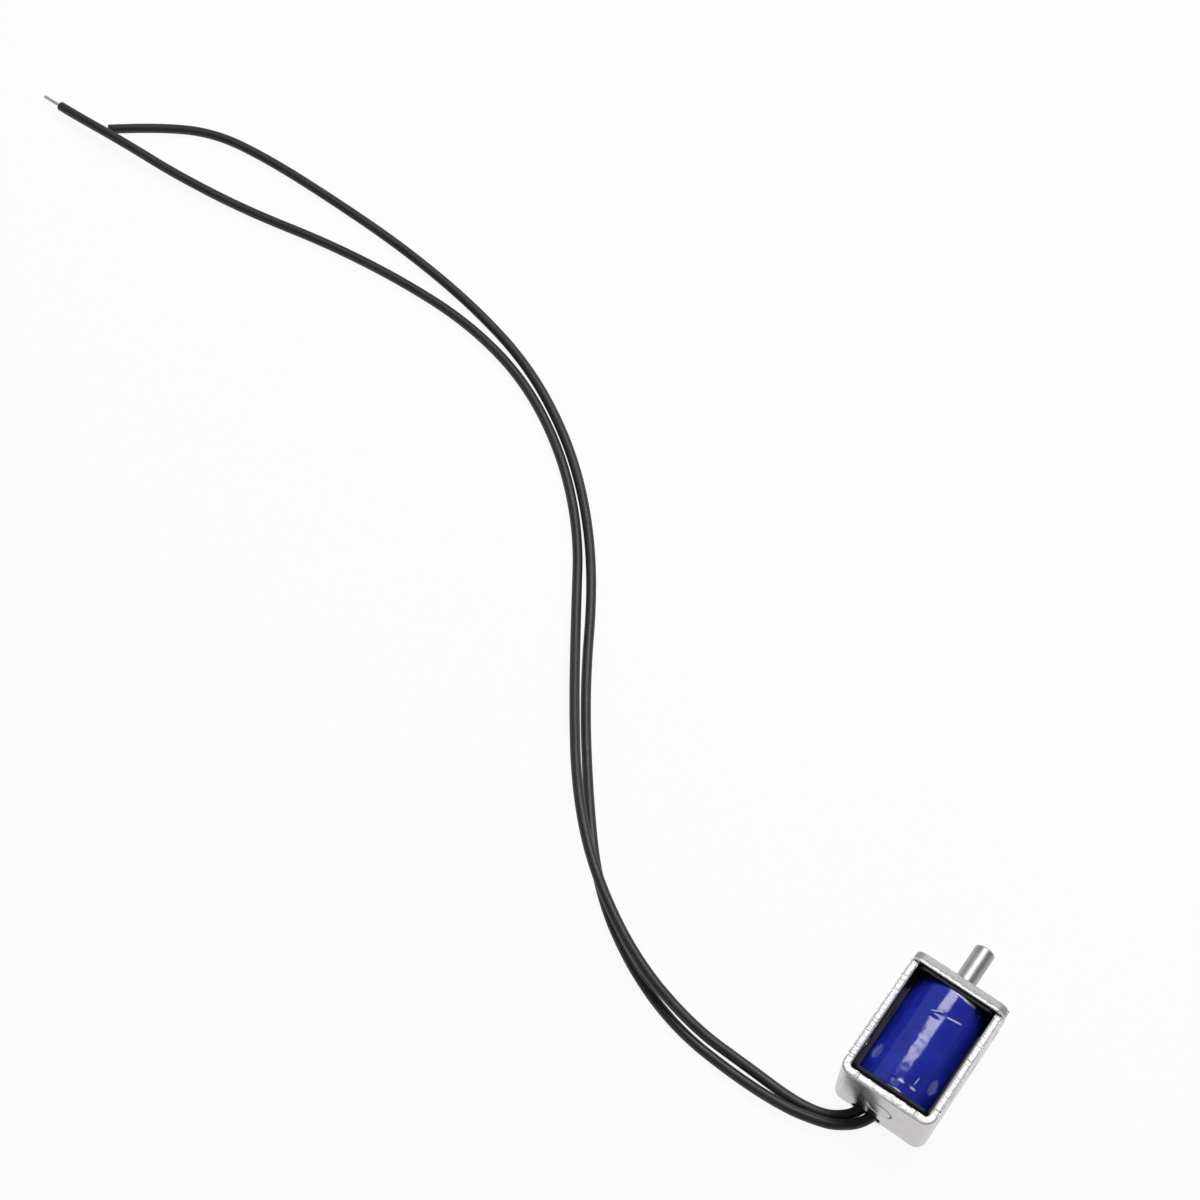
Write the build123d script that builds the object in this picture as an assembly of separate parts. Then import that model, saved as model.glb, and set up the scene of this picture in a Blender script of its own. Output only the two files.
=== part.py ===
from build123d import *
import math
import os

# A miniature solenoid lock: a steel pin, held out by a spring, that a coil draws back into an open frame.
# Sizes are in millimetres. +X runs along the pin, out of the front plate, and +Z is up.
# Everything is drawn from the rear wall's outer face and the surface below. At the end it is moved
# along X, so that the origin is midway between that face and the pin's tip, on the surface.

# Frame: a strip bent into a U, with its rear wall at x = 0
frame_length = 21.0
frame_width = 15.0
frame_height = 12.5
wall = 1.2
bend_radius = 0.5
bend_swell = 0.15
bend_swell_width = 2.85
wall_top_corner = 0.8
wall_bottom_corner = 1.4

# Tongues that pass through the front plate and are swaged over it
tongue_height = 6.0
tongue_projection = 1.0
lip_reach = 0.25
lip_thickness = 0.35
lip_facet = 0.9
relief_width = 0.4
relief_depth = 0.7

# Tapped holes, a diagonal pair in each side wall
tap_radius = 1.25
tap_chamfer = 0.2
rear_tap_setback = 6.6
rear_tap_drop = 3.2
front_tap_setback = 6.9
front_tap_rise = 2.4

# Notch in the rear wall where the two leads come out
exit_notch_left = 4.0
exit_notch_right = -0.6
exit_notch_height = 1.9
exit_notch_corner = 0.6

# Front plate
plate_thickness = 1.6
plate_top_corner = 1.5
plate_bottom_corner = 0.9
plate_edge_round = 0.25
notch_clearance = 0.1
notch_corner = 0.3

# Bobbin
rear_flange = 0.9
front_flange = 0.5
flange_side_gap = 0.1
flange_inset = 0.4
flange_corner = 1.0
barrel_wall = 0.55
lead_slot_left = 3.3
lead_slot_right = -0.75

# Coil
coil_clearance = 0.45
tape_thickness = 0.15
tape_lap = 0.06
tape_lap_start = 1.4
wrap_thickness = 0.5
winding_depth = 1.37
winding_end_gap = 0.05

# Plunger, pin and what they run in
plunger_length = 8.0
plunger_chamfer = 0.3
stroke = 4.0
pin_radius = 1.58
pin_projection = 7.4
pin_chamfer = 0.35
pin_seat = 3.0
sleeve_wall = 0.2
cushion_side_gap = 0.35
cushion_thickness = 0.6
shim_thickness = 0.2
neck_radius = 1.8

# Front bushing
nose_radius = 4.1
nose_recess = 0.05
nose_step = 0.12
nose_step_width = 0.35
bushing_flange_reach = 0.6
bushing_flange = 0.55
bushing_spigot = 1.4
mouth_chamfer = 0.25

# Return spring
spring_wire = 0.3
spring_radius = 1.15
spring_turns = 7
core_pocket = 2.0
plunger_pocket = 3.0
pocket_clearance = 0.12

# Leads
lead_radius = 0.8
strand_radius = 0.3
strand_length = 2.3
splice_radius = 0.2
splice_length = 3.4
splice_gap = 0.12

# Clearances between pieces
running_clearance = 0.05
fitting_clearance = 0.02

# Each lead's route from its inner end, chosen by hand along its centre line
lead_a_route = [
    (1.75, 1.95, 0.8), (-0.6, 2.7, 0.8), (-2.4, 4.4, 0.8), (-3.7, 6.7, 0.8), (-4.4, 11.2, 0.8), (-4.1, 18.5, 0.9),
    (-4.1, 28.8, 2.2), (-1.1, 41.0, 4.4), (6.2, 53.4, 5.4), (14.9, 62.5, 5.4), (26.5, 71.3, 3.2),
    (40.0, 80.6, 1.2), (52.1, 88.7, 0.8), (62.2, 99.4, 0.8), (69.6, 112.1, 0.8), (73.0, 125.5, 0.8),
    (73.4, 139.0, 0.8), (72.2, 154.1, 0.8), (69.4, 169.5, 0.8), (67.9, 183.5, 1.5), (67.6, 195.0, 2.2),
    (67.2, 204.5, 2.2), (67.6, 210.8, 1.2),
]
lead_b_route = [
    (1.75, 0.15, 0.8), (-1.3, 0.9, 1.2), (-4.0, 4.0, 1.6), (-5.0, 6.4, 1.8), (-6.0, 11.0, 1.5), (-6.2, 19.0, 0.8),
    (-5.4, 30.5, 0.8), (-1.4, 41.5, 0.8), (5.5, 52.0, 0.8), (16.4, 61.5, 0.8), (30.5, 72.2, 0.8),
    (45.7, 81.4, 0.8), (56.7, 90.6, 0.8), (65.5, 101.1, 0.8), (72.5, 113.9, 0.8), (76.5, 128.6, 0.8),
    (78.7, 144.1, 0.8), (79.5, 158.5, 0.8), (79.8, 173.0, 0.8), (78.8, 184.1, 0.8), (74.2, 192.8, 0.8),
    (68.6, 199.9, 0.8),
]

# Places and sizes worked out from the values above
inner_width = frame_width - 2 * wall
axis_z = frame_height / 2
plate_back = frame_length - plate_thickness
coil_start = wall + rear_flange
coil_end = plate_back - front_flange
tongue_tip = frame_length + tongue_projection
pin_tip = frame_length + pin_projection

# Across the coil, from the tape inwards to the plunger
coil_radius = min(inner_width, frame_height) / 2 - coil_clearance
wrap_radius = coil_radius - tape_thickness - fitting_clearance
winding_radius = wrap_radius - wrap_thickness - fitting_clearance
barrel_radius = winding_radius - winding_depth - fitting_clearance
bobbin_bore = barrel_radius - barrel_wall
sleeve_radius = bobbin_bore - fitting_clearance
sleeve_bore = sleeve_radius - sleeve_wall
plunger_radius = sleeve_bore - running_clearance
cushion_radius = sleeve_bore - cushion_side_gap

bushing_back = plate_back - bushing_spigot
cushion_back = bushing_back - fitting_clearance - cushion_thickness
plunger_front = cushion_back - fitting_clearance
plunger_back = plunger_front - plunger_length
shim_front = plunger_back - stroke - fitting_clearance
core_front = shim_front - shim_thickness

pin_bore = pin_radius + running_clearance
spring_outer = spring_radius + spring_wire / 2
pocket_radius = spring_outer + pocket_clearance
spring_back = core_front - core_pocket + fitting_clearance
spring_front = plunger_back + plunger_pocket - fitting_clearance


def block(x_range, y_range, z_range):
    """A box between two values on each axis."""
    low, high = zip(x_range, y_range, z_range)
    size = [h - l for l, h in zip(low, high)]
    middle = [(h + l) / 2 for l, h in zip(low, high)]
    return Pos(*middle) * Box(*size)


def turned(profile):
    """A solid turned about the pin's axis from (x, radius) points."""
    face = make_face(Polyline(*profile, close=True))
    return Pos(0, 0, axis_z) * revolve(face, Axis.X)


def ring(x_start, x_end, inner_radius, outer_radius):
    return turned([(x_start, inner_radius), (x_end, inner_radius), (x_end, outer_radius), (x_start, outer_radius)])


def cross_bore(x, y, z, radius, length):
    """A cylinder along Y, for a hole through a side wall."""
    return Pos(x, y, z) * Rot(90, 0, 0) * Cylinder(radius, length)


def axial_bore(x_start, x_end, radius):
    return Pos((x_start + x_end) / 2, 0, axis_z) * Rot(0, 90, 0) * Cylinder(radius, x_end - x_start)


def rear_opening(left, right, height, x_start, x_end):
    """The space that the leads need in the rear wall or the rear flange, with rounded upper corners."""
    outline = Pos((left + right) / 2, height / 2) * Rectangle(left - right, height)
    outline = fillet(outline.vertices().group_by(Axis.Y)[-1], exit_notch_corner)
    plane = Plane(origin=(x_start, 0, 0), x_dir=(0, 1, 0), z_dir=(1, 0, 0))
    return extrude(plane * outline, x_end - x_start)


def bent_strip():
    """The U of the frame, with the strip's front corners rounded."""
    outer = Pos(plate_back / 2, 0) * Rectangle(plate_back, frame_width)
    outer = fillet(outer.vertices().group_by(Axis.X)[0], bend_radius + wall)
    inner = Pos((wall + plate_back) / 2, 0) * Rectangle(plate_back - wall, inner_width)
    inner = fillet(inner.vertices().group_by(Axis.X)[0], bend_radius)
    strip = extrude(outer - inner, frame_height)
    front_edges = strip.edges().filter_by(Axis.Y).group_by(Axis.X)[-1].group_by(Axis.Z)
    strip = fillet(front_edges[-1], wall_top_corner)
    front_edges = strip.edges().filter_by(Axis.Y).group_by(Axis.X)[-1].group_by(Axis.Z)
    return fillet(front_edges[0], wall_bottom_corner)


def swaged_tongue():
    """One tongue on the +Y wall: its end is spread over the plate's face and chiselled to two facets."""
    half = tongue_height / 2
    lip = half + lip_reach
    shank = [(plate_back - wall, -half), (plate_back - wall, half), (frame_length, half)]
    head = [(frame_length, lip), (frame_length + lip_thickness, lip), (tongue_tip, half - lip_facet)]
    upper = shank[1:] + head
    lower = [(x, -z) for x, z in reversed(upper)]
    outline = make_face(Polyline(*upper, *lower, close=True))
    plane = Plane(origin=(0, frame_width / 2, axis_z), x_dir=(1, 0, 0), z_dir=(0, -1, 0))
    return extrude(plane * outline, wall)


def tongue_relief(side):
    """The round-ended slot at a tongue's root, above it for side 1 and below it for side -1."""
    z = axis_z + side * (tongue_height + relief_width) / 2
    y_range = (inner_width / 2, frame_width / 2)
    end_x = plate_back - relief_depth + relief_width / 2
    slot = block((end_x, plate_back), y_range, (z - relief_width / 2, z + relief_width / 2))
    return slot + cross_bore(end_x, (inner_width + wall) / 2, z, relief_width / 2, wall)


def tapped_hole_places():
    rear = (rear_tap_setback, frame_height - rear_tap_drop)
    front = (frame_length - front_tap_setback, front_tap_rise)
    return [rear, front]


def frame():
    solid = bent_strip()
    for side in (1, -1):
        solid -= tongue_relief(side)
        solid -= mirror(tongue_relief(side), Plane.XZ)
    solid += swaged_tongue()
    solid += mirror(swaged_tongue(), Plane.XZ)

    # The edges swell a little at the bends, so the rear wall's own edges lie lower
    flat_half = frame_width / 2 - bend_swell_width
    edge_low = block((-wall, wall + bend_radius), (-flat_half, flat_half), (0, bend_swell))
    edge_high = Pos(0, 0, frame_height - bend_swell) * edge_low
    solid -= edge_low
    solid -= edge_high

    solid -= axial_bore(-wall, 2 * wall, neck_radius + fitting_clearance)
    solid -= rear_opening(exit_notch_left, exit_notch_right, exit_notch_height, -wall, 2 * wall)

    for x, z in tapped_hole_places():
        solid -= cross_bore(x, 0, z, tap_radius, 2 * frame_width)
    rims = solid.edges().filter_by(GeomType.CIRCLE)
    rims = rims.filter_by(lambda edge: abs(edge.radius - tap_radius) < 1e-4)
    return chamfer(rims, tap_chamfer)


def front_plate():
    outline = Rectangle(frame_width, frame_height)
    outline = fillet(outline.vertices().group_by(Axis.Y)[-1], plate_top_corner)
    outline = fillet(outline.vertices().group_by(Axis.Y)[0], plate_bottom_corner)
    notch_floor = inner_width / 2 - notch_clearance
    notch_height = tongue_height + 2 * notch_clearance
    for side in (1, -1):
        notch = Pos(side * (notch_floor + frame_width) / 2, 0) * Rectangle(frame_width - notch_floor, notch_height)
        outline -= notch
    mouth = outline.vertices().filter_by(lambda v: abs(abs(v.X) - frame_width / 2) < 1e-4)
    mouth = mouth.filter_by(lambda v: abs(abs(v.Y) - notch_height / 2) < 1e-4)
    outline = fillet(mouth, notch_corner)
    plane = Plane(origin=(plate_back, 0, axis_z), x_dir=(0, 1, 0), z_dir=(1, 0, 0))
    plate = extrude(plane * outline, plate_thickness)
    plate = fillet(plate.faces().sort_by(Axis.X)[-1].edges(), plate_edge_round)

    hole_radius = nose_radius + notch_clearance
    seat_radius = nose_radius + bushing_flange_reach + notch_clearance
    plate -= axial_bore(plate_back - wall, tongue_tip, hole_radius)
    return plate - axial_bore(plate_back - wall, plate_back + bushing_flange + fitting_clearance, seat_radius)


def fixed_core():
    """The steel core behind the plunger, riveted flush into the rear wall by its neck."""
    return turned([
        (0, 0), (0, neck_radius), (wall, neck_radius), (wall, plunger_radius),
        (core_front - plunger_chamfer, plunger_radius), (core_front, plunger_radius - plunger_chamfer),
        (core_front, pocket_radius), (core_front - core_pocket, pocket_radius), (core_front - core_pocket, 0),
    ])


def flange(x_start, thickness):
    width = inner_width - 2 * flange_side_gap
    height = frame_height - 2 * flange_inset
    plane = Plane(origin=(x_start, 0, axis_z), x_dir=(0, 1, 0), z_dir=(1, 0, 0))
    return extrude(plane * RectangleRounded(width, height, flange_corner), thickness)


def bobbin():
    rear = flange(wall, rear_flange)
    beside_bends = rear.edges().filter_by(Axis.Z).group_by(Axis.X)[0]
    rear = chamfer(beside_bends, bend_radius)
    solid = rear + flange(coil_end, front_flange)
    solid += ring(wall, plate_back, bobbin_bore, barrel_radius)
    solid -= axial_bore(0, frame_length, bobbin_bore)
    solid -= rear_opening(lead_slot_left, lead_slot_right, exit_notch_height, 0, coil_start)
    return solid - splice_room()


def winding():
    return ring(coil_start + winding_end_gap, coil_end - winding_end_gap,
                barrel_radius + fitting_clearance, winding_radius)


def splice_places():
    """Each splice lies in the middle of the wrap, in line with its lead's inner end."""
    middle_radius = wrap_radius - wrap_thickness / 2
    starts = [lead_a_route[0], lead_b_route[0]]
    return [(x + splice_gap, y, axis_z - math.sqrt(middle_radius**2 - y**2)) for x, y, z in starts]


def splice_rod(place, radius, length):
    x, y, z = place
    return Pos(x + length / 2, y, z) * Rot(0, 90, 0) * Cylinder(radius, length)


def splice_room():
    """The space that the two splices need in what they lie in."""
    radius = splice_radius + fitting_clearance
    length = splice_length + fitting_clearance
    first, second = [splice_rod((x - fitting_clearance, y, z), radius, length + fitting_clearance)
                     for x, y, z in splice_places()]
    return first + second


def insulation_wrap():
    solid = ring(coil_start + winding_end_gap, coil_end - winding_end_gap,
                 winding_radius + fitting_clearance, wrap_radius)
    return solid - splice_room()


def tape_wrap():
    """The outer tape, whose second turn starts a little in front of the rear flange."""
    start = coil_start + winding_end_gap
    end = coil_end - winding_end_gap
    inner = coil_radius - tape_thickness
    first_turn = coil_radius - tape_lap
    lap = start + tape_lap_start
    return turned([(start, inner), (end, inner), (end, coil_radius), (lap, coil_radius),
                   (lap, first_turn), (start, first_turn)])


def guide_sleeve():
    return ring(wall + fitting_clearance, bushing_back - fitting_clearance, sleeve_bore, sleeve_radius)


def front_bushing():
    """The moulded bushing that guides the pin and stops the plunger, with a nose in the plate's hole."""
    face = frame_length - nose_recess
    rim = nose_radius - nose_step_width
    flange_front = plate_back + bushing_flange
    flange_radius = nose_radius + bushing_flange_reach
    spigot_radius = bobbin_bore - fitting_clearance
    return turned([
        (bushing_back, pin_bore), (bushing_back, spigot_radius), (plate_back, spigot_radius),
        (plate_back, flange_radius), (flange_front, flange_radius), (flange_front, nose_radius),
        (face - nose_step, nose_radius), (face - nose_step, rim), (face, rim),
        (face, pin_bore + mouth_chamfer), (face - mouth_chamfer, pin_bore),
    ])


def pole_shim():
    return ring(core_front, shim_front, pocket_radius, plunger_radius - plunger_chamfer)


def plunger():
    seat_radius = pin_radius + fitting_clearance
    return turned([
        (plunger_back, pocket_radius), (plunger_back, plunger_radius - plunger_chamfer),
        (plunger_back + plunger_chamfer, plunger_radius), (plunger_front - plunger_chamfer, plunger_radius),
        (plunger_front, plunger_radius - plunger_chamfer), (plunger_front, seat_radius),
        (plunger_front - pin_seat, seat_radius), (plunger_front - pin_seat, 0),
        (plunger_back + plunger_pocket, 0), (plunger_back + plunger_pocket, pocket_radius),
    ])


def lock_pin():
    back = plunger_front - pin_seat
    return turned([
        (back, 0), (back, pin_radius - pin_chamfer), (back + pin_chamfer, pin_radius),
        (pin_tip - pin_chamfer, pin_radius), (pin_tip, pin_radius - pin_chamfer), (pin_tip, 0),
    ])


def front_cushion():
    """The soft washer on the pin, between the plunger and the bushing."""
    return ring(cushion_back, cushion_back + cushion_thickness, pin_bore, cushion_radius)


def return_spring():
    """A round-wire helix, made of equal turns, with its two ends ground flat."""
    length = spring_front - spring_back
    pitch = length / spring_turns
    path = Helix(pitch, pitch, spring_radius)
    section = Plane(origin=path @ 0, z_dir=path % 0) * Circle(spring_wire / 2)
    turn = sweep(section, path=path, is_frenet=True)
    coil = turn
    for index in range(1, math.ceil((length + spring_wire) / pitch)):
        coil += Pos(0, 0, index * pitch) * turn
    coil = Pos(spring_back - spring_wire / 2, 0, axis_z) * Rot(0, 90, 0) * coil
    reach = 2 * spring_outer
    room = block((spring_back, spring_front), (-reach, reach), (axis_z - reach, axis_z + reach))
    return coil & room


def corner_radii(route):
    """For each corner, the radius whose arc takes 0.45 of the shorter of its two runs."""
    radii = []
    for before, corner, after in zip(route, route[1:], route[2:]):
        run_in = Vector(*corner) - Vector(*before)
        run_out = Vector(*after) - Vector(*corner)
        half_turn = math.radians(run_in.get_angle(run_out)) / 2
        radii.append(0.45 * min(run_in.length, run_out.length) / math.tan(half_turn))
    return radii


def lead(name, route):
    """The insulated wire: one round section along straight runs and tangent arcs."""
    radii = corner_radii(route)
    path = FilletPolyline(*route, radius=radii)
    section = Plane(origin=path @ 0, z_dir=path % 0) * Circle(lead_radius)
    solid = sweep(section, path=path)
    ratio = solid.volume / (math.pi * lead_radius**2 * path.length)
    print(name, "length", round(path.length, 1), "volume over section times length", round(ratio, 4))
    print(name, "radii", [round(radius, 1) for radius in radii])
    return solid


def strand(route):
    """The tinned wire that stands out of a lead's far end, in line with the last run."""
    end = Vector(*route[-1])
    along = (end - Vector(*route[-2])).normalized()
    return extrude(Plane(origin=end, z_dir=along) * Circle(strand_radius), strand_length)


def splice(place):
    return splice_rod(place, splice_radius, splice_length)


splice_a_place, splice_b_place = splice_places()
nodes = {
    "frame": frame(),
    "front_plate": front_plate(),
    "fixed_core": fixed_core(),
    "bobbin": bobbin(),
    "winding": winding(),
    "insulation_wrap": insulation_wrap(),
    "tape_wrap": tape_wrap(),
    "guide_sleeve": guide_sleeve(),
    "front_bushing": front_bushing(),
    "pole_shim": pole_shim(),
    "plunger": plunger(),
    "lock_pin": lock_pin(),
    "front_cushion": front_cushion(),
    "return_spring": return_spring(),
    "splice_a": splice(splice_a_place),
    "splice_b": splice(splice_b_place),
    "lead_a": lead("lead_a", lead_a_route),
    "lead_b": lead("lead_b", lead_b_route),
    "strand_a": strand(lead_a_route),
    "strand_b": strand(lead_b_route),
}

os.makedirs("parts", exist_ok=True)
for name, solid in nodes.items():
    export_step(Pos(-pin_tip / 2, 0, 0) * solid, f"parts/{name}.step")
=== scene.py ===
import math

import bpy
import numpy as np
from mathutils import Matrix, Vector, noise


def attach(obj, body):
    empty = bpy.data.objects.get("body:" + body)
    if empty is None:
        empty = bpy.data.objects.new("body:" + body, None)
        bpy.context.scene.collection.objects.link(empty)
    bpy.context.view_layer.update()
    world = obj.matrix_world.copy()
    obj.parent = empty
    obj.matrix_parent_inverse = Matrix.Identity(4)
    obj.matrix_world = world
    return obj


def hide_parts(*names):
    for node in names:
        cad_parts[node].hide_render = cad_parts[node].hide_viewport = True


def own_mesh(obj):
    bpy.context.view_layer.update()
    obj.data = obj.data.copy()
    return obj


# A miniature solenoid lock on a white floor. Lengths are in millimetres along the part unless a comment
# says otherwise, with x from the rear wall's outer face, y from the pin's axis and z from the floor.
# place() turns them into metres.

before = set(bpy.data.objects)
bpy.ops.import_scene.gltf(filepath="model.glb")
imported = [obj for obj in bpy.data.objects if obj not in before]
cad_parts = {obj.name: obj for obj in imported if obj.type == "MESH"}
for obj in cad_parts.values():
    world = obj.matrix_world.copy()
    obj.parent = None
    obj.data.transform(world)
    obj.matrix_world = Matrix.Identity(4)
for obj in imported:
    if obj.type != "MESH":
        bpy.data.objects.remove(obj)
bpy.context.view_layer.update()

MM = 0.001
REAR_FACE_X = -14.2
AXIS_Z = 6.25

# The bent frame and its front plate
FRAME_LENGTH = 21.0
FRAME_WIDTH = 15.0
WALL = 1.2
BEND_RADIUS = 0.5
OUTER_RADIUS = BEND_RADIUS + WALL
STRAIGHT_HALF = FRAME_WIDTH / 2 - OUTER_RADIUS
BEND_LENGTH = math.pi / 2 * OUTER_RADIUS
PLATE_BACK = 19.4
NECK_RADIUS = 1.8
TAP_RADIUS = 1.25
TAPPED_HOLES = [(6.6, 9.3), (14.1, 2.4)]
PRESSED_CELL = 0.09

# The taped coil
COIL_RADIUS = 5.8
COIL_ENDS = (2.15, 18.85)
TAPE_THICKNESS = 0.2

# Creases in the tape as (start, end, half width, height), where a dent's height is negative. Each start and
# end is in degrees round the coil from its top, and in x.
CREASES = [
    ((13, 14.6), (0, 15.0), 0.12, 0.06),
    ((-12, 14.9), (-32, 15.4), 0.10, 0.07),
    ((7, 10.6), (6, 14.0), 0.80, -0.05),
    ((-3, 3.6), (-29, 3.75), 0.10, 0.05),
    ((-24, 4.4), (-25, 5.4), 0.08, 0.03),
    ((-3, 18.65), (-38, 18.9), 0.14, 0.06),
]

# Painted glints: pale lines where the tape's cut edges and folds catch the light, as (start, end, half width)
PAINTED_GLINT_LINES = [
    ((-13, 14.95), (-32, 15.4), 0.09),
    ((5, 14.9), (13, 14.6), 0.05),
    ((-16, 18.62), (-37, 18.68), 0.17),
    ((-3, 18.6), (-16, 18.62), 0.09),
    ((-3, 2.28), (-13, 2.28), 0.10),
    ((-2, 3.55), (-10, 3.6), 0.10),
    ((-22, 3.7), (-29, 3.75), 0.14),
    ((-24, 4.4), (-25, 5.4), 0.05),
]

# The camera, in millimetres of the shared frame
CAMERA_PLACE = (-111.7, -21.4, 354.6)
CAMERA_TARGET = (30.4, 79.3, 0.0)
CAMERA_UP = (0.8158, 0.5784, 0.0)
CAMERA_LENS = 76.05
CAMERA_SENSOR = 36.0

# The strength of the room's light on the object, how bright the ceiling looks in what reflects it, and the
# heights of a direction between which the horizon's white falls to that
ROOM_LIGHT = 0.20
DARK_OVERHEAD = 0.15
HORIZON_BAND = (0.02, 0.15)

# How much of the floor's own white shows in the open, and in each shade as (x range, y range, softness of its
# edges, level): inside the frame, and in the notch that the leads leave by. Each shade also paints the
# floor's colour darker, down to near black at level 0, as painted shadow.
OPEN_FLOOR_GLOW = 0.93
PAINTED_FLOOR_SHADES = [
    ((0.6, 20.4), (-6.9, 6.9), 0.6, 0.04),
    ((-0.1, 3.0), (-0.9, 4.2), 0.3, 0.0),
]

# The leads, as the control points of smooth lines from the coil to their bare ends
LEAD_RADIUS = 0.8
LEAD_STEPS = 24
STRAND_LENGTHS = {"a": 4.2, "b": 2.3}
STRAND_RADIUS = 0.3
LEAD_ROUTES = {
    "a": [
        (1.75, 1.95, 0.8), (-0.6, 2.7, 0.8), (-2.4, 4.4, 0.8), (-3.7, 6.7, 0.8), (-4.4, 11.2, 0.8),
        (-4.1, 18.5, 0.9), (-4.1, 28.8, 2.2), (-1.1, 41.0, 4.4), (6.2, 53.4, 5.4), (14.9, 62.5, 5.4),
        (26.5, 71.3, 3.2), (40.0, 80.6, 1.2), (52.1, 88.7, 0.8), (62.2, 99.4, 0.8), (69.6, 112.1, 0.8),
        (73.0, 125.5, 0.8), (73.4, 139.0, 0.8), (72.2, 154.1, 0.8), (69.4, 169.5, 0.8), (67.9, 183.5, 1.5),
        (67.6, 195.0, 2.2), (67.2, 204.5, 2.2), (67.5, 208.9, 1.5),
    ],
    "b": [
        (1.75, 0.15, 0.8), (-1.3, 0.9, 1.2), (-4.0, 4.0, 1.6), (-5.0, 6.4, 1.8), (-6.0, 11.0, 1.5),
        (-6.2, 19.0, 0.8), (-5.4, 30.5, 0.8), (-1.4, 41.5, 0.8), (5.5, 52.0, 0.8), (16.4, 61.5, 0.8),
        (30.5, 72.2, 0.8), (45.7, 81.4, 0.8), (56.7, 90.6, 0.8), (65.5, 101.1, 0.8), (72.5, 113.9, 0.8),
        (76.5, 128.6, 0.8), (78.7, 144.1, 0.8), (79.5, 158.5, 0.8), (79.8, 173.0, 0.8), (78.8, 184.1, 0.8),
        (74.2, 192.8, 0.8), (68.9, 199.5, 0.8),
    ],
}

# Most values of a noise texture lie in this span
NOISE_SPAN = (0.3, 0.7)


def place(x, y, z):
    """A point of the part, in metres in the shared frame."""
    return Vector(((x + REAR_FACE_X) * MM, y * MM, z * MM))


def add_object(name, data):
    new = bpy.data.objects.new(name, data)
    bpy.context.scene.collection.objects.link(new)
    return new


def mesh_object(name, vertices, faces, smooth=True):
    """A mesh piece from points in metres."""
    mesh = bpy.data.meshes.new(name)
    mesh.from_pydata([tuple(v) for v in vertices], [], faces)
    mesh.update()
    if smooth:
        mesh.shade_smooth()
    return add_object(name, mesh)


def tube_faces(rings, count):
    """The faces of a closed tube through rings of that count of points, with its two ends."""
    faces = []
    for ring in range(rings - 1):
        for k in range(count):
            a, b = ring * count + k, ring * count + (k + 1) % count
            faces.append((a, b, b + count, a + count))
    last = (rings - 1) * count
    faces.append(tuple(range(count))[::-1])
    faces.append(tuple(range(last, last + count)))
    return faces


# Materials

def link_or_set(tree, socket, value):
    if isinstance(value, bpy.types.NodeSocket):
        tree.links.new(value, socket)
    else:
        socket.default_value = value


def add_node(tree, kind, inputs=None, **settings):
    """A shader node with its settings and its inputs, each a value or another node's output."""
    node = tree.nodes.new(kind)
    for name, value in settings.items():
        setattr(node, name, value)
    for name, value in (inputs or {}).items():
        link_or_set(tree, node.inputs[name], value)
    return node


def calculate(tree, operation, first, second=None):
    """The result of a Math node."""
    inputs = {0: first} if second is None else {0: first, 1: second}
    return add_node(tree, "ShaderNodeMath", inputs, operation=operation).outputs["Value"]


def new_material(name, **values):
    """A material with a Principled shader whose own sockets take the values that are the same all over."""
    made = bpy.data.materials.new(name)
    made.use_nodes = True
    tree = made.node_tree
    shader = tree.nodes["Principled BSDF"]
    for socket, value in values.items():
        link_or_set(tree, shader.inputs[socket.replace("_", " ")], value)
    return made, tree, shader


def coordinates(tree):
    """The object's own coordinates in millimetres."""
    source = add_node(tree, "ShaderNodeTexCoord").outputs["Object"]
    return add_node(tree, "ShaderNodeMapping", {"Vector": source, "Scale": [1 / MM] * 3}).outputs["Vector"]


def noise_value(tree, vector, scale, detail=3.0, roughness=0.55):
    inputs = {"Vector": vector, "Scale": scale, "Detail": detail, "Roughness": roughness}
    return add_node(tree, "ShaderNodeTexNoise", inputs).outputs["Fac"]


def spread(tree, value, low, high, to_low, to_high):
    """Maps a value's range from low to high on to another range."""
    inputs = {"Value": value, "From Min": low, "From Max": high, "To Min": to_low, "To Max": to_high}
    return add_node(tree, "ShaderNodeMapRange", inputs).outputs["Result"]


def two_tone(tree, value, dark, bright):
    """A colour that runs from dark to bright over the usual values of a noise."""
    node = add_node(tree, "ShaderNodeValToRGB", {"Fac": value})
    for element, position, colour in zip(node.color_ramp.elements, NOISE_SPAN, (dark, bright)):
        element.position = position
        element.color = (*colour, 1)
    return node.outputs["Color"]


def bump(tree, height, distance, below=None):
    """A bump normal of that depth in millimetres, on top of another one."""
    inputs = {"Height": height, "Distance": distance * MM}
    if below is not None:
        inputs["Normal"] = below
    return add_node(tree, "ShaderNodeBump", inputs).outputs["Normal"]


def grained_metal(name, dark, bright, roughness, grain=0.12, depth=0.008, blotch=2.5, metallic=1.0):
    """Bare metal: slow blotches in its colour, and a fine grain in its gloss and its bump."""
    made, tree, shader = new_material(name, Metallic=metallic)
    at = coordinates(tree)
    slow = noise_value(tree, at, 1 / blotch, detail=4.0)
    fine = noise_value(tree, at, 1 / grain, detail=5.0, roughness=0.65)
    colour = two_tone(tree, slow, dark, bright)
    link_or_set(tree, shader.inputs["Base Color"], colour)
    gloss = spread(tree, fine, *NOISE_SPAN, roughness - 0.07, roughness + 0.09)
    link_or_set(tree, shader.inputs["Roughness"], gloss)
    link_or_set(tree, shader.inputs["Normal"], bump(tree, fine, depth))
    return made


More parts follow.
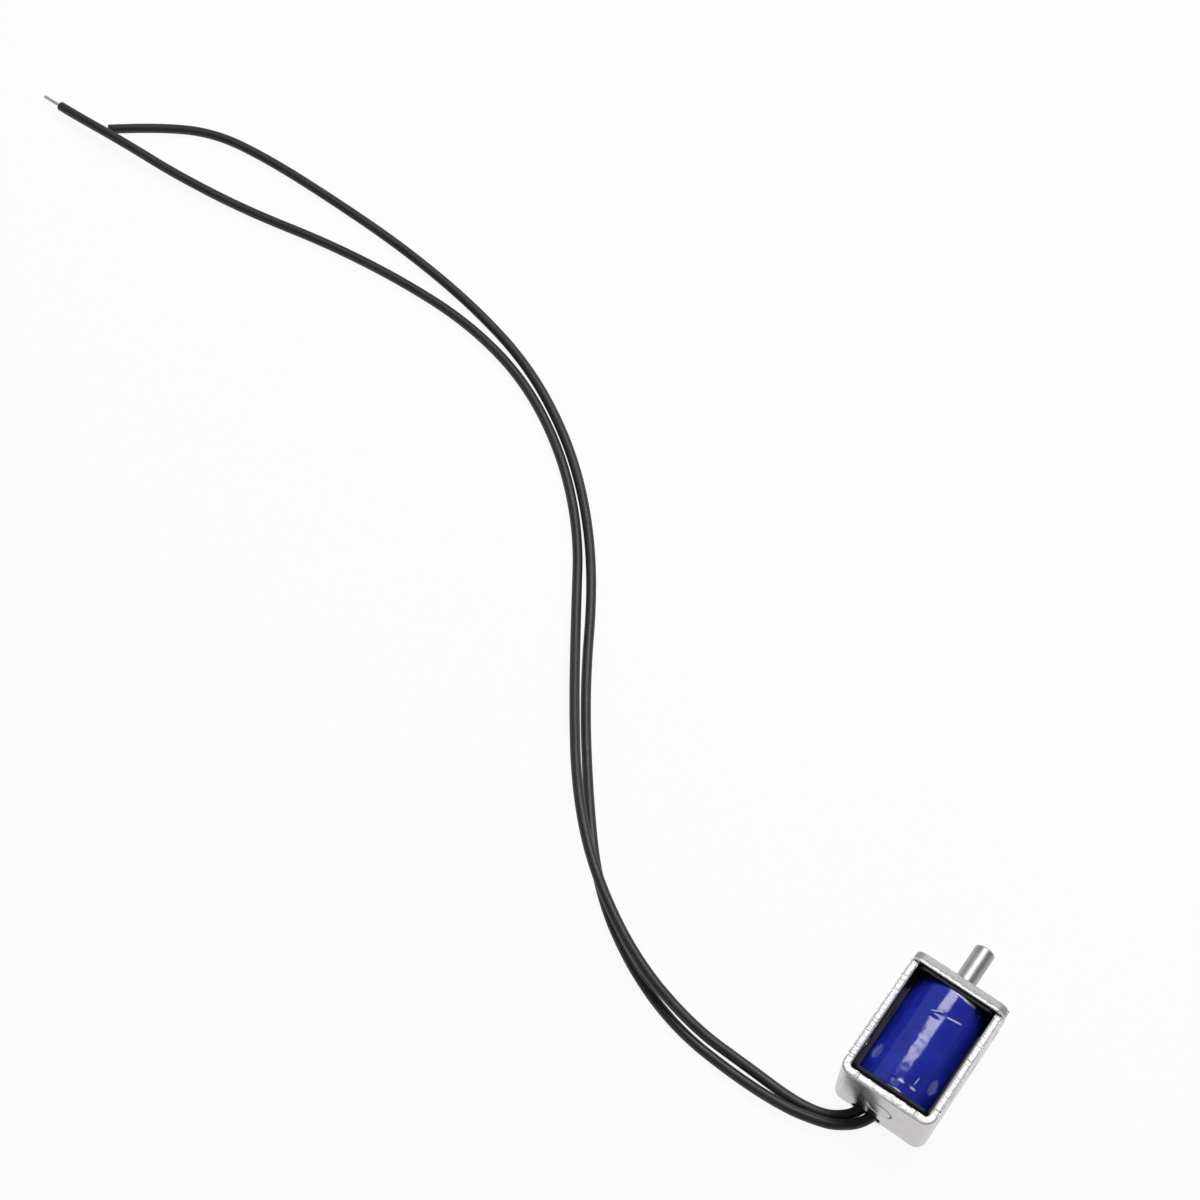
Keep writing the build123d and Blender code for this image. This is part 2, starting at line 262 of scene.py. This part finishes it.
def moulded(name, dark, bright, roughness, **values):
    """Plastic, rubber or matt tape with a fine grain."""
    made, tree, shader = new_material(name, **values)
    blotch, grain, depth = 2.0, 0.1, 0.006
    at = coordinates(tree)
    slow = noise_value(tree, at, 1 / blotch)
    fine = noise_value(tree, at, 1 / grain, detail=4.0)
    link_or_set(tree, shader.inputs["Base Color"], two_tone(tree, slow, dark, bright))
    gloss = spread(tree, fine, *NOISE_SPAN, roughness - 0.06, roughness + 0.06)
    link_or_set(tree, shader.inputs["Roughness"], gloss)
    link_or_set(tree, shader.inputs["Normal"], bump(tree, fine, depth))
    return made


def grey(level, warm=0.0):
    return (level + warm, level, level)


STEEL = grained_metal("frame_steel", (0.50, 0.48, 0.475), (0.57, 0.55, 0.54), 0.26, depth=0.0015)
CUT_STEEL = grained_metal("torn_steel", grey(0.62), grey(0.80), 0.50, grain=0.3, depth=0.03, blotch=0.3,
                          metallic=0.6)
EDGE_STEEL = grained_metal("burnished_steel", grey(0.36), grey(0.46), 0.55, grain=0.2, depth=0.02, blotch=0.5,
                           metallic=0.4)
CORE_STEEL = grained_metal("core_steel", grey(0.47), grey(0.54), 0.28, depth=0.002)
PIN_STEEL = grained_metal("pin_steel", grey(0.40), grey(0.51), 0.45, grain=0.16, depth=0.012)
SPRING_STEEL = grained_metal("spring_steel", grey(0.35), grey(0.45), 0.28, depth=0.003)
BRASS = grained_metal("brass", (0.62, 0.43, 0.16), (0.72, 0.53, 0.24), 0.3, depth=0.004)
COPPER = grained_metal("enamelled_copper", (0.42, 0.14, 0.05), (0.55, 0.21, 0.08), 0.25, depth=0.01)
TINNED = grained_metal("tinned_copper", grey(0.62, 0.02), grey(0.75, 0.02), 0.45, grain=0.2, depth=0.008,
                       metallic=0.8)
PLASTIC = moulded("black_plastic", grey(0.005), grey(0.010), 0.5, Specular_IOR_Level=0.2)
RUBBER = moulded("black_rubber", grey(0.014), grey(0.02), 0.65)
WRAP_TAPE = moulded("cream_tape", (0.6, 0.52, 0.36), (0.68, 0.6, 0.44), 0.5)


def blue_tape():
    """Glossy polyester tape over blue adhesive, with painted glints: a pale colour where its cut edge or a
    fold catches the light.
    """
    made, tree, shader = new_material("blue_tape", Roughness=0.13, Specular_IOR_Level=0.55)
    blotch, grain, depth = 3.0, 0.14, 0.002
    at = coordinates(tree)
    blue = two_tone(tree, noise_value(tree, at, 1 / blotch), (0.009, 0.018, 0.31), (0.013, 0.028, 0.41))
    # Painted glints: the pale attribute mixes a bluish white into the tape along its cut edges and folds.
    pale = add_node(tree, "ShaderNodeAttribute", attribute_name="pale").outputs["Fac"]
    edge = (0.74, 0.76, 0.90, 1)
    colour = add_node(tree, "ShaderNodeMixRGB", {"Fac": pale, "Color1": blue, "Color2": edge})
    link_or_set(tree, shader.inputs["Base Color"], colour.outputs["Color"])
    link_or_set(tree, shader.inputs["Normal"], bump(tree, noise_value(tree, at, 1 / grain), depth))
    return made


def lead_vinyl():
    """Extruded vinyl: fine lines run along the lead, with specks between them."""
    made, tree, shader = new_material("lead_insulation", Specular_IOR_Level=0.5)
    lines_scale, line_depth = (9, 160, 1), 0.03
    speck, speck_depth = 0.25, 0.006
    uv = add_node(tree, "ShaderNodeTexCoord").outputs["UV"]
    along = add_node(tree, "ShaderNodeMapping", {"Vector": uv, "Scale": lines_scale}).outputs["Vector"]
    lines = noise_value(tree, along, 1.0)
    specks = noise_value(tree, coordinates(tree), 1 / speck, detail=4.0)
    colour = two_tone(tree, lines, (0.016, 0.015, 0.016), (0.026, 0.0245, 0.0255))
    link_or_set(tree, shader.inputs["Base Color"], colour)
    link_or_set(tree, shader.inputs["Roughness"], spread(tree, specks, *NOISE_SPAN, 0.42, 0.54))
    normal = bump(tree, specks, speck_depth, below=bump(tree, lines, line_depth))
    link_or_set(tree, shader.inputs["Normal"], normal)
    return made


TAPE = blue_tape()
VINYL = lead_vinyl()

# The CAD nodes that no dressed piece replaces
NODE_MATERIALS = {
    "fixed_core": CORE_STEEL, "bobbin": PLASTIC, "winding": COPPER, "insulation_wrap": WRAP_TAPE,
    "guide_sleeve": BRASS, "front_bushing": PLASTIC, "pole_shim": BRASS, "plunger": CORE_STEEL,
    "front_cushion": RUBBER, "splice_a": TINNED, "splice_b": TINNED,
}


def dress_cad_nodes():
    for name, look in NODE_MATERIALS.items():
        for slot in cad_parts[name].material_slots:
            slot.material = look


# Pressed steel pieces

def finely_meshed(name, node):
    """A copy of a CAD node with even faces about a cell wide, for detail that moves its surface."""
    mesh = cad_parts[node].data.copy()
    mesh.transform(Matrix.Scale(1 / MM, 4))
    holder = add_object(name, mesh)
    weld = holder.modifiers.new("weld", "WELD")
    weld.merge_threshold = 0.001
    remesh = holder.modifiers.new("remesh", "REMESH")
    remesh.mode = "VOXEL"
    remesh.voxel_size = PRESSED_CELL
    evaluated = holder.evaluated_get(bpy.context.evaluated_depsgraph_get())
    fine = bpy.data.meshes.new_from_object(evaluated)
    bpy.data.objects.remove(holder)
    bpy.data.meshes.remove(mesh)
    fine.transform(Matrix.Translation((-REAR_FACE_X, 0, 0)))
    return fine


def mesh_arrays(mesh):
    """The vertices and their normals, as arrays of rows."""
    points = np.empty(3 * len(mesh.vertices))
    normals = np.empty(3 * len(mesh.vertices))
    mesh.vertices.foreach_get("co", points)
    mesh.vertex_normals.foreach_get("vector", normals)
    return points.reshape(-1, 3), normals.reshape(-1, 3)


def finished_piece(name, mesh, points, node):
    """Puts a mesh in part millimetres at its place in metres, and in the place of its CAD node."""
    mesh.vertices.foreach_set("co", points.ravel())
    mesh.transform(Matrix.Scale(MM, 4) @ Matrix.Translation((REAR_FACE_X, 0, 0)))
    mesh.update()
    mesh.shade_smooth()
    mesh.materials.clear()
    for look in (STEEL, EDGE_STEEL, CUT_STEEL):
        mesh.materials.append(look)
    piece = add_object(name, mesh)
    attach(piece, "housing")
    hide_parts(node)
    return piece


def noise_at(columns):
    """Noise of about -1 to 1 for points whose coordinates are three arrays."""
    return np.array([noise.noise(point) for point in zip(*(column.tolist() for column in columns))])


def ridge(distance, half_width):
    """1 on a line and 0 away from it."""
    return np.exp(-(distance / half_width) ** 2)


def rise(value, low, high):
    """A smooth step from 0 at low to 1 at high."""
    share = np.clip((value - low) / (high - low), 0, 1)
    return share * share * (3 - 2 * share)


def strip_place(x, y):
    """For points of the bent strip: how far along it they are from the rear wall's middle, and how deep
    below its outer face."""
    side = np.abs(y)
    from_centre = np.hypot(OUTER_RADIUS - x, side - STRAIGHT_HALF)
    angle = np.arctan2(np.maximum(side - STRAIGHT_HALF, 0), np.maximum(OUTER_RADIUS - x, 1e-6))
    on_side = x > OUTER_RADIUS
    on_rear = side < STRAIGHT_HALF
    along = np.where(on_rear, side, np.where(on_side, STRAIGHT_HALF + BEND_LENGTH + x - OUTER_RADIUS,
                                             STRAIGHT_HALF + angle * OUTER_RADIUS))
    depth = np.where(on_rear, x, np.where(on_side, FRAME_WIDTH / 2 - side, OUTER_RADIUS - from_centre))
    return along * np.where(y < 0, -1, 1), depth


def sheared_edge(along, depth):
    """The height of the strip's sheared edge: two shallow lines along it with torn cross marks between
    them, and corners that the cut rolled over."""
    line_width = 0.09
    zero = np.zeros_like(along)
    wave = 0.05 * noise_at((along / 0.9, zero, zero + 2.5)) + 0.03 * noise_at((along / 0.3, zero, zero + 7.5))
    outer_line = ridge(depth - 0.17 - wave, line_width)
    inner_line = ridge(depth - (WALL - 0.2) - wave, line_width)
    marks = noise_at((along / 0.16, depth / 1.1, zero + 3.5))
    marks += 0.5 * noise_at((along / 0.5, depth / 0.5, zero))
    band = rise(depth, 0.15, 0.35) * rise(WALL - depth, 0.15, 0.35)
    rolled = 0.06 * np.clip(1 - depth / 0.2, 0, 1) ** 2
    rolled += 0.12 * np.clip(1 - (WALL - depth) / 0.3, 0, 1) ** 2
    return 0.05 * marks * band - 0.06 * outer_line - 0.05 * inner_line - rolled


def bend_marks(along, depth):
    """The step lines across the strip where each swollen bend ends."""
    line_width = 0.09
    curved = 0.35 * (depth / WALL - 0.5) ** 2
    near_rear = ridge(np.abs(along) - (STRAIGHT_HALF - 0.95 + curved), line_width)
    near_side = ridge(np.abs(along) - (STRAIGHT_HALF + BEND_LENGTH + 1.05 - curved), line_width)
    return near_rear + near_side


def thread_groove(points, normals, x, z):
    """How far the wall of a tapped hole at x, z is cut back by its thread."""
    pitch, depth = 0.5, 0.2
    across, up = points[:, 0] - x, points[:, 2] - z
    radius = np.hypot(across, up)
    facing = -(normals[:, 0] * across + normals[:, 2] * up) / np.maximum(radius, 1e-6)
    turn = np.arctan2(up, across) / (2 * math.pi)
    phase = np.mod(points[:, 1] / pitch + turn, 1.0)
    profile = 1 - np.abs(2 * phase - 1)
    return depth * profile * (facing > 0.8) * (radius < TAP_RADIUS + 0.1)


def frame_strip():
    """The bent frame: sheared edges, bend marks, threads, dressed tongues and a slightly uneven surface."""
    bend_middle, bend_half = 7.1, 1.9
    chisel_pitch = 0.42
    mesh = finely_meshed("frame_strip", "frame")
    points, normals = mesh_arrays(mesh)
    x, y, z = points.T
    along, depth = strip_place(x, y)
    facing_up = np.abs(normals[:, 2])
    on_edge = rise(facing_up, 0.45, 0.85) * (np.abs(z - AXIS_Z) > AXIS_Z - 0.45)
    at_bend = np.abs(np.abs(along) - bend_middle) < bend_half
    rough = sheared_edge(along, depth) * np.where(at_bend, 0.55, 1.0)
    height = on_edge * (rough - 0.07 * bend_marks(along, depth))
    slow = noise_at((x / 2.2, y / 2.2, z / 2.2)) * 0.012
    fine = noise_at((x / 0.35, y / 0.35, z / 0.35)) * 0.0015
    on_tongue = x > FRAME_LENGTH - 0.05
    beaten = on_tongue * 0.05 * noise_at((x / 0.3, y / 0.3, z / 0.45))
    on_facet = rise(np.abs(z - AXIS_Z), 1.9, 2.2) * on_tongue
    beaten = beaten + on_facet * 0.06 * np.cos(2 * math.pi * (FRAME_WIDTH / 2 - np.abs(y)) / chisel_pitch)
    height = height + slow + fine + beaten - neck_groove(points, normals)
    for hole_x, hole_z in TAPPED_HOLES:
        height -= thread_groove(points, normals, hole_x, hole_z)
    points = points + normals * height[:, None]
    piece = finished_piece("frame_strip", mesh, points, "frame")
    band = (depth > 0.2) & (depth < WALL - 0.17) & (on_edge > 0.5)
    dress_edges(piece.data, on_edge > 0.5, band)


def neck_groove(points, normals):
    """A ring in the rear face round the core's riveted neck."""
    depth, beyond_neck, half_width = 0.22, 0.06, 0.13
    radius = np.hypot(points[:, 1], points[:, 2] - AXIS_Z)
    ring = depth * ridge(radius - NECK_RADIUS - beyond_neck, half_width)
    return ring * (normals[:, 0] < -0.6) * (points[:, 0] < 0.2)


def dress_edges(mesh, cut, torn):
    """Cut edges are duller than the rolled faces, and bright where the steel tore."""
    kind = np.where(torn, 2, np.where(cut, 1, 0))
    for polygon in mesh.polygons:
        kinds = [kind[v] for v in polygon.vertices]
        polygon.material_index = int(max(set(kinds), key=kinds.count))


def plate_piece():
    """The front plate: punched edges with a torn band towards the rear and a burnished one in front."""
    hole_margin = 5.4
    mesh = finely_meshed("plate", "front_plate")
    points, normals = mesh_arrays(mesh)
    x, y, z = points.T
    on_edge = rise(np.abs(normals[:, 0]), 0.75, 0.4) * (np.hypot(y, z - AXIS_Z) > hole_margin)
    around = np.where(np.abs(z - AXIS_Z) > 5.0, y, z)
    depth = x - PLATE_BACK
    zero = np.zeros_like(x)
    torn_end = 0.5 + 0.14 * noise_at((around / 0.5, zero, zero + 1.5))
    torn_end += 0.08 * noise_at((around / 0.18, zero, zero))
    torn = rise(torn_end - depth, -0.06, 0.06) * rise(depth, 0.02, 0.12)
    marks = noise_at((around / 0.2, depth / 0.35, zero + 4.5))
    burnished = 0.015 * noise_at((around / 0.22, depth / 0.22, zero))
    step_line = 0.05 * ridge(depth - torn_end, 0.08)
    height = on_edge * (torn * (0.05 * marks + 0.03) + (1 - torn) * burnished - step_line)
    height += noise_at((x / 2.0, y / 2.0, z / 2.0)) * 0.01
    height += noise_at((x / 0.3, y / 0.3, z / 0.3)) * 0.003
    points = points + normals * height[:, None]
    piece = finished_piece("plate", mesh, points, "front_plate")
    dress_edges(piece.data, on_edge > 0.5, (on_edge > 0.5) & (torn > 0.5))


# Tape

def crease(theta, x, start, end, half_width):
    """1 along a straight crease between two (degrees, x) places on the coil, fading at both ends."""
    (theta_a, x_a), (theta_b, x_b) = start, end
    fade = 0.3
    scale = math.radians(1) * COIL_RADIUS
    across, up = (theta_b - theta_a) * scale, x_b - x_a
    length = math.hypot(across, up)
    from_a, from_x = (theta - theta_a) * scale, x - x_a
    share = (from_a * across + from_x * up) / length
    distance = np.abs(from_a * up - from_x * across) / length
    return ridge(distance, half_width) * rise(share, -fade, fade) * rise(length - share, -fade, fade)


def tape_height(theta, x):
    """How far the tape's outer face stands out from its round shape, by degrees from the top and by x."""
    fall_start, fall_slope, fall_bend = 6.3, 0.028, 0.8
    rear, front = COIL_ENDS
    zero = np.zeros_like(x)
    angle = np.radians(theta)
    y, z = np.sin(angle) * COIL_RADIUS, np.cos(angle) * COIL_RADIUS
    slow = noise_at((x / 3.5, y / 2.4, z / 2.4))
    small = noise_at((x / 0.9 + 7, y / 0.7, z / 0.7))
    tiny = noise_at((x / 0.4 + 3, y / 0.3, z / 0.3))
    height = 0.018 * slow + 0.0095 * small + 0.0010 * tiny
    fall = np.maximum(fall_start - x, 0)
    height = height - fall_slope * fall ** 2 / (fall + fall_bend)
    height = height + 0.035 * (rise(x, 14.5, 15.4) - rise(x, 15.4, 18.4)) * ridge(theta - 3, 12)
    for start, end, half_width, depth in CREASES:
        height = height + depth * crease(theta, x, start, end, half_width)
    height = height - 0.10 * rise(x, front - 0.45, front) * (0.6 + 0.4 * noise_at((zero, theta / 9, zero)))
    height = height - 0.05 * rise(rear + 0.35 - x, 0, 0.35)
    lap = rear + 1.4 + 0.10 * noise_at((zero + 3.3, theta / 14, zero)) - x
    return height - 0.03 * rise(lap, -0.12, 0.12)


def tape_piece():
    """The tape's two turns as one closed shell, with creases, wavy edges and the step of the second turn."""
    rear, front = COIL_ENDS
    columns, rows = 480, 240
    degrees = np.arange(columns) * 360 / columns - 180
    theta, share = np.meshgrid(degrees, np.linspace(0, 1, rows))
    zero = np.zeros(theta.size)
    wave = 0.12 * noise_at((theta.ravel() / 11, zero + 5.5, zero)).reshape(theta.shape)
    near_edge = np.abs(2 * share - 1) ** 8
    x = rear + (front - rear) * share + wave * np.where(share > 0.5, -1, 1) * near_edge
    height = tape_height(theta.ravel(), x.ravel()).reshape(theta.shape)
    shells = []
    for radius in (COIL_RADIUS + height, np.full(theta.shape, COIL_RADIUS - TAPE_THICKNESS)):
        y, z = radius * np.sin(np.radians(theta)), AXIS_Z + radius * np.cos(np.radians(theta))
        shells.append([place(*at) for at in zip(x.ravel(), y.ravel(), z.ravel())])
    faces = []
    inner = rows * columns
    last = (rows - 1) * columns
    for k in range(columns):
        after = (k + 1) % columns
        for row in range(rows - 1):
            a, b = row * columns + k, row * columns + after
            faces.append((a, b, b + columns, a + columns))
            faces.append((inner + b, inner + a, inner + a + columns, inner + b + columns))
        faces.append((inner + k, inner + after, after, k))
        faces.append((last + k, last + after, inner + last + after, inner + last + k))
    piece = mesh_object("tape", shells[0] + shells[1], faces)
    piece.data.materials.append(TAPE)
    # Painted glints: the pale lines along the tape's cut edges and folds, on the outer shell only.
    pale = np.zeros(2 * inner)
    lines = sum(crease(theta.ravel(), x.ravel(), *edge) for edge in PAINTED_GLINT_LINES)
    pale[:inner] = np.clip(1.3 * lines, 0, 1)
    piece.data.attributes.new("pale", "FLOAT", "POINT").data.foreach_set("value", pale)
    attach(piece, "housing")
    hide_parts("tape_wrap")


# Pin and spring

def pin_piece():
    """The lock pin, ground round, with its tip's edge broken by a small radius."""
    back, tip, radius = 14.36, 28.4, 1.58
    chamfer, rounding, middle = 0.3, 0.38, 0.02
    profile = [(back, middle), (back, radius - chamfer), (back + chamfer, radius)]
    profile += [(x, radius) for x in np.linspace(back + 0.4, tip - rounding - 0.05, 60)]
    for angle in np.linspace(0, math.pi / 2, 9):
        profile.append((tip - rounding + rounding * math.sin(angle),
                        radius - rounding + rounding * math.cos(angle)))
    profile += [(tip, radius - rounding - 0.1), (tip, 0.6), (tip, middle)]
    steps = 96
    angles = [2 * math.pi * k / steps for k in range(steps)]
    vertices = [place(x, r * math.sin(angle), AXIS_Z + r * math.cos(angle))
                for x, r in profile for angle in angles]
    piece = mesh_object("pin", vertices, tube_faces(len(profile), steps))
    piece.data.materials.append(PIN_STEEL)
    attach(piece, "bolt")
    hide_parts("lock_pin")


def spring_piece():
    """The return spring, as the CAD node shapes it, in spring steel. In use the plunger shortens it by its
    stroke towards the core's pocket.
    """
    piece = add_object("coil_spring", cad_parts["return_spring"].data.copy())
    piece.data.materials.clear()
    piece.data.materials.append(SPRING_STEEL)
    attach(piece, "housing")
    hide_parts("return_spring")
    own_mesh(piece)


# Camera

def add_camera():
    camera = add_object("camera", bpy.data.cameras.new("camera"))
    camera.data.lens = CAMERA_LENS
    camera.data.sensor_width = CAMERA_SENSOR
    camera.data.clip_start = 0.01
    camera.data.clip_end = 20.0
    away = (Vector(CAMERA_PLACE) - Vector(CAMERA_TARGET)).normalized()
    across = Vector(CAMERA_UP).cross(away).normalized()
    turn = Matrix((across, away.cross(across), away)).transposed().to_4x4()
    camera.matrix_world = Matrix.Translation(Vector(CAMERA_PLACE) * MM) @ turn
    bpy.context.scene.camera = camera


# Leads

def route_points(name, points):
    """The points of the smooth line that has these control points, in metres."""
    curve = bpy.data.curves.new(name, "CURVE")
    curve.dimensions = "3D"
    curve.resolution_u = 20
    spline = curve.splines.new("NURBS")
    spline.points.add(len(points) - 1)
    for point, at in zip(spline.points, points):
        point.co = (*place(*at), 1)
    spline.order_u = 3
    spline.use_endpoint_u = True
    holder = add_object(name, curve)
    mesh = bpy.data.meshes.new_from_object(holder)
    line = [v.co.copy() for v in mesh.vertices]
    bpy.data.objects.remove(holder)
    bpy.data.curves.remove(curve)
    bpy.data.meshes.remove(mesh)
    return line


def carried_frames(line):
    """For each point of a line: its direction and two crosswise directions that don't twist along it."""
    frames = []
    side = Vector((0, 0, 1))
    for index in range(len(line)):
        ahead = line[min(index + 1, len(line) - 1)]
        behind = line[max(index - 1, 0)]
        along = (ahead - behind).normalized()
        side = (side - along * side.dot(along)).normalized()
        frames.append((along, side, along.cross(side)))
    return frames


def tube(name, stations, sections):
    """A closed tube through rings. A station is (centre, side, up), and its section is a list of (side, up)
    pairs in metres."""
    vertices = []
    for (centre, side, up), section in zip(stations, sections):
        vertices += [centre + side * a + up * b for a, b in section]
    return mesh_object(name, vertices, tube_faces(len(stations), len(sections[0])))


def lead_piece(letter):
    """The insulated wire as a round tube along its route, slightly uneven, with a cut far end."""
    line = route_points("route", LEAD_ROUTES[letter])
    frames = carried_frames(line)
    stations, sections = [], []
    for point, (along, side, up) in zip(line, frames):
        section = []
        for k in range(LEAD_STEPS):
            angle = 2 * math.pi * k / LEAD_STEPS
            out = side * math.cos(angle) + up * math.sin(angle)
            uneven = noise.noise(point * 260 + out * 0.5)
            radius = LEAD_RADIUS * MM * (0.992 + 0.008 * uneven)
            section.append((math.cos(angle) * radius, math.sin(angle) * radius))
        stations.append((point, side, up))
        sections.append(section)
    point, (along, side, up) = line[-1], frames[-1]
    last_section = sections[-1]
    for ahead, share in [(0.05, 0.985), (0.075, 0.94)]:
        stations.append((point + along * ahead * MM, side, up))
        sections.append([(a * share, b * share) for a, b in last_section])
    piece = tube("lead_insulation_" + letter, stations, sections)
    write_lead_uv(piece)
    piece.data.materials.append(VINYL)
    return piece, line, frames[-1]


def write_lead_uv(piece):
    """u runs round the lead and v along it, by the same step for each ring."""
    u_round, v_step = 0.9, 0.0005
    layer = piece.data.uv_layers.new(name="UVMap")
    for polygon in piece.data.polygons:
        columns = [v % LEAD_STEPS for v in polygon.vertices]
        on_seam = len(columns) == 4 and max(columns) == LEAD_STEPS - 1
        for loop in polygon.loop_indices:
            ring, k = divmod(piece.data.loops[loop].vertex_index, LEAD_STEPS)
            if on_seam and k == 0:
                k = LEAD_STEPS
            layer.data[loop].uv = (k / LEAD_STEPS * u_round, ring * v_step)


def strand_piece(letter, end, directions):
    """The tinned end: six strands twisted together, whose tip the solder rounds."""
    along, side, up = directions
    length, radius = STRAND_LENGTHS[letter] * MM, STRAND_RADIUS * MM
    turns, lobes, steps, rings = 1.3, 6, 36, 40
    tip_start, tip_length, tip_least = 0.93, 0.07, 0.15
    stations, sections = [], []
    for ring in range(rings + 1):
        share = ring / rings
        twist = 2 * math.pi * turns * share
        tip = 1.0
        if share > tip_start:
            tip = math.sqrt(max(0.0, 1 - ((share - tip_start) / tip_length) ** 2))
        depth = 0.10 * (1 - 0.75 * share)
        section = []
        for k in range(steps):
            angle = 2 * math.pi * k / steps
            dip = depth * (1 - abs(math.sin(lobes / 2 * (angle - twist))))
            reach = radius * (1 - dip) * max(tip, tip_least)
            section.append((math.cos(angle) * reach, math.sin(angle) * reach))
        stations.append((end + along * length * share, side, up))
        sections.append(section)
    piece = tube("tinned_strands_" + letter, stations, sections)
    piece.data.materials.append(TINNED)
    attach(piece, "housing")
    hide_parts("strand_" + letter)
    return piece


def add_leads():
    for letter in ("a", "b"):
        piece, line, end_directions = lead_piece(letter)
        strands = strand_piece(letter, line[-1], end_directions)
        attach(piece, "housing")
        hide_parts("lead_" + letter)


# Floor, world and lights

def seen_directly(tree):
    """1 for rays from the camera, and for reflected and transmitted ones."""
    path = add_node(tree, "ShaderNodeLightPath").outputs
    either = calculate(tree, "MAXIMUM", path["Is Camera Ray"], path["Is Glossy Ray"])
    return calculate(tree, "MAXIMUM", either, path["Is Transmission Ray"])


def inside_span(tree, value, low, high, soft):
    """1 between two values and 0 outside them, with edges that soft."""
    middle, half = (low + high) / 2, (high - low) / 2
    distance = calculate(tree, "ABSOLUTE", calculate(tree, "SUBTRACT", value, middle))
    return spread(tree, distance, half - soft, half, 1.0, 0.0)


def floor_glow(tree, at):
    """How much of the floor's own white shows: all of it in the open, less inside the frame, and none in
    the deep shadow of the notch that the leads leave by."""
    split = add_node(tree, "ShaderNodeSeparateXYZ", {"Vector": at}).outputs
    glow = None
    for x_range, y_range, soft, level in PAINTED_FLOOR_SHADES:
        along = inside_span(tree, split["X"], x_range[0] + REAR_FACE_X, x_range[1] + REAR_FACE_X, soft)
        across = inside_span(tree, split["Y"], *y_range, soft)
        both = calculate(tree, "MULTIPLY", along, across)
        shade = spread(tree, both, 0.0, 1.0, OPEN_FLOOR_GLOW, level)
        if glow is not None:
            shade = calculate(tree, "MINIMUM", glow, shade)
        glow = shade
    return glow


def floor_material():
    """White paper that looks plain white to the camera and keeps the object's shadow, with painted shadow, a
    near-black colour, where the frame shades it and in the notch that the leads leave by."""
    made = bpy.data.materials.new("white_floor")
    made.use_nodes = True
    tree = made.node_tree
    tree.nodes.clear()
    at = coordinates(tree)
    pale = two_tone(tree, noise_value(tree, at, 1 / 40.0), grey(0.86), grey(0.88))
    # Painted shadow: where less of the floor's white shows, the paper's colour is painted towards this
    # near-black, under the frame and in the notch.
    painted_floor_shadow = (*grey(0.06), 1)
    shown = floor_glow(tree, at)
    openness = spread(tree, shown, 0.0, OPEN_FLOOR_GLOW, 0.0, 1.0)
    colour = add_node(tree, "ShaderNodeMixRGB", {"Fac": openness, "Color1": painted_floor_shadow, "Color2": pale})
    paper = add_node(tree, "ShaderNodeBsdfDiffuse", {"Color": colour.outputs["Color"]}).outputs["BSDF"]
    glow = add_node(tree, "ShaderNodeEmission", {"Color": (1, 1, 1, 1), "Strength": 1.0}).outputs["Emission"]
    share = calculate(tree, "MULTIPLY", seen_directly(tree), shown)
    mix = add_node(tree, "ShaderNodeMixShader", {0: share, 1: paper, 2: glow})
    add_node(tree, "ShaderNodeOutputMaterial", {"Surface": mix.outputs["Shader"]})
    return made


def add_floor():
    """A floor that reaches 8 metres each way."""
    half = 8.0
    corners = [(-half, -half, 0), (half, -half, 0), (half, half, 0), (-half, half, 0)]
    floor = mesh_object("floor", corners, [(0, 1, 2, 3)], smooth=False)
    floor.data.materials.append(floor_material())


def add_world():
    """White at the horizon and for the camera, and a darker studio ceiling in what reflects it."""
    world = bpy.data.worlds.new("studio")
    bpy.context.scene.world = world
    world.use_nodes = True
    tree = world.node_tree
    tree.nodes.clear()
    path = add_node(tree, "ShaderNodeLightPath").outputs
    direction = add_node(tree, "ShaderNodeTexCoord").outputs["Generated"]
    height = add_node(tree, "ShaderNodeSeparateXYZ", {"Vector": direction}).outputs["Z"]
    overhead = spread(tree, height, *HORIZON_BAND, 1.0, DARK_OVERHEAD)
    strength = calculate(tree, "MAXIMUM", overhead, path["Is Camera Ray"])
    plain = add_node(tree, "ShaderNodeBackground", {"Color": (1, 1, 1, 1), "Strength": ROOM_LIGHT}).outputs[0]
    white = add_node(tree, "ShaderNodeBackground", {"Color": (1, 1, 1, 1), "Strength": strength}).outputs[0]
    mix = add_node(tree, "ShaderNodeMixShader", {0: seen_directly(tree), 1: plain, 2: white})
    add_node(tree, "ShaderNodeOutputWorld", {"Surface": mix.outputs["Shader"]})


def add_area_light(name, at, across, size, power):
    """A rectangular lamp that faces the origin, whose first side runs along across. Lengths are in metres."""
    light = add_object(name, bpy.data.lights.new(name, "AREA"))
    light.data.shape = "RECTANGLE"
    light.data.size, light.data.size_y = size
    light.data.energy = power
    away = Vector(at).normalized()
    side = (Vector(across) - away * away.dot(Vector(across))).normalized()
    turn = Matrix((side, away.cross(side), away)).transposed().to_4x4()
    light.matrix_world = Matrix.Translation(Vector(at)) @ turn


def add_lights():
    add_area_light("softbox", at=(0.41, 0.05, 0.72), across=(0, 1, 0), size=(0.41, 0.42), power=5.0)
    add_area_light("side_panel", at=(0.21, 0.46, 0.40), across=(1, 0, 0), size=(0.60, 0.56), power=0.30)


add_camera()
add_leads()
dress_cad_nodes()
frame_strip()
plate_piece()
tape_piece()
pin_piece()
spring_piece()
add_floor()
add_world()
add_lights()
bpy.context.scene.view_settings.view_transform = "Standard"
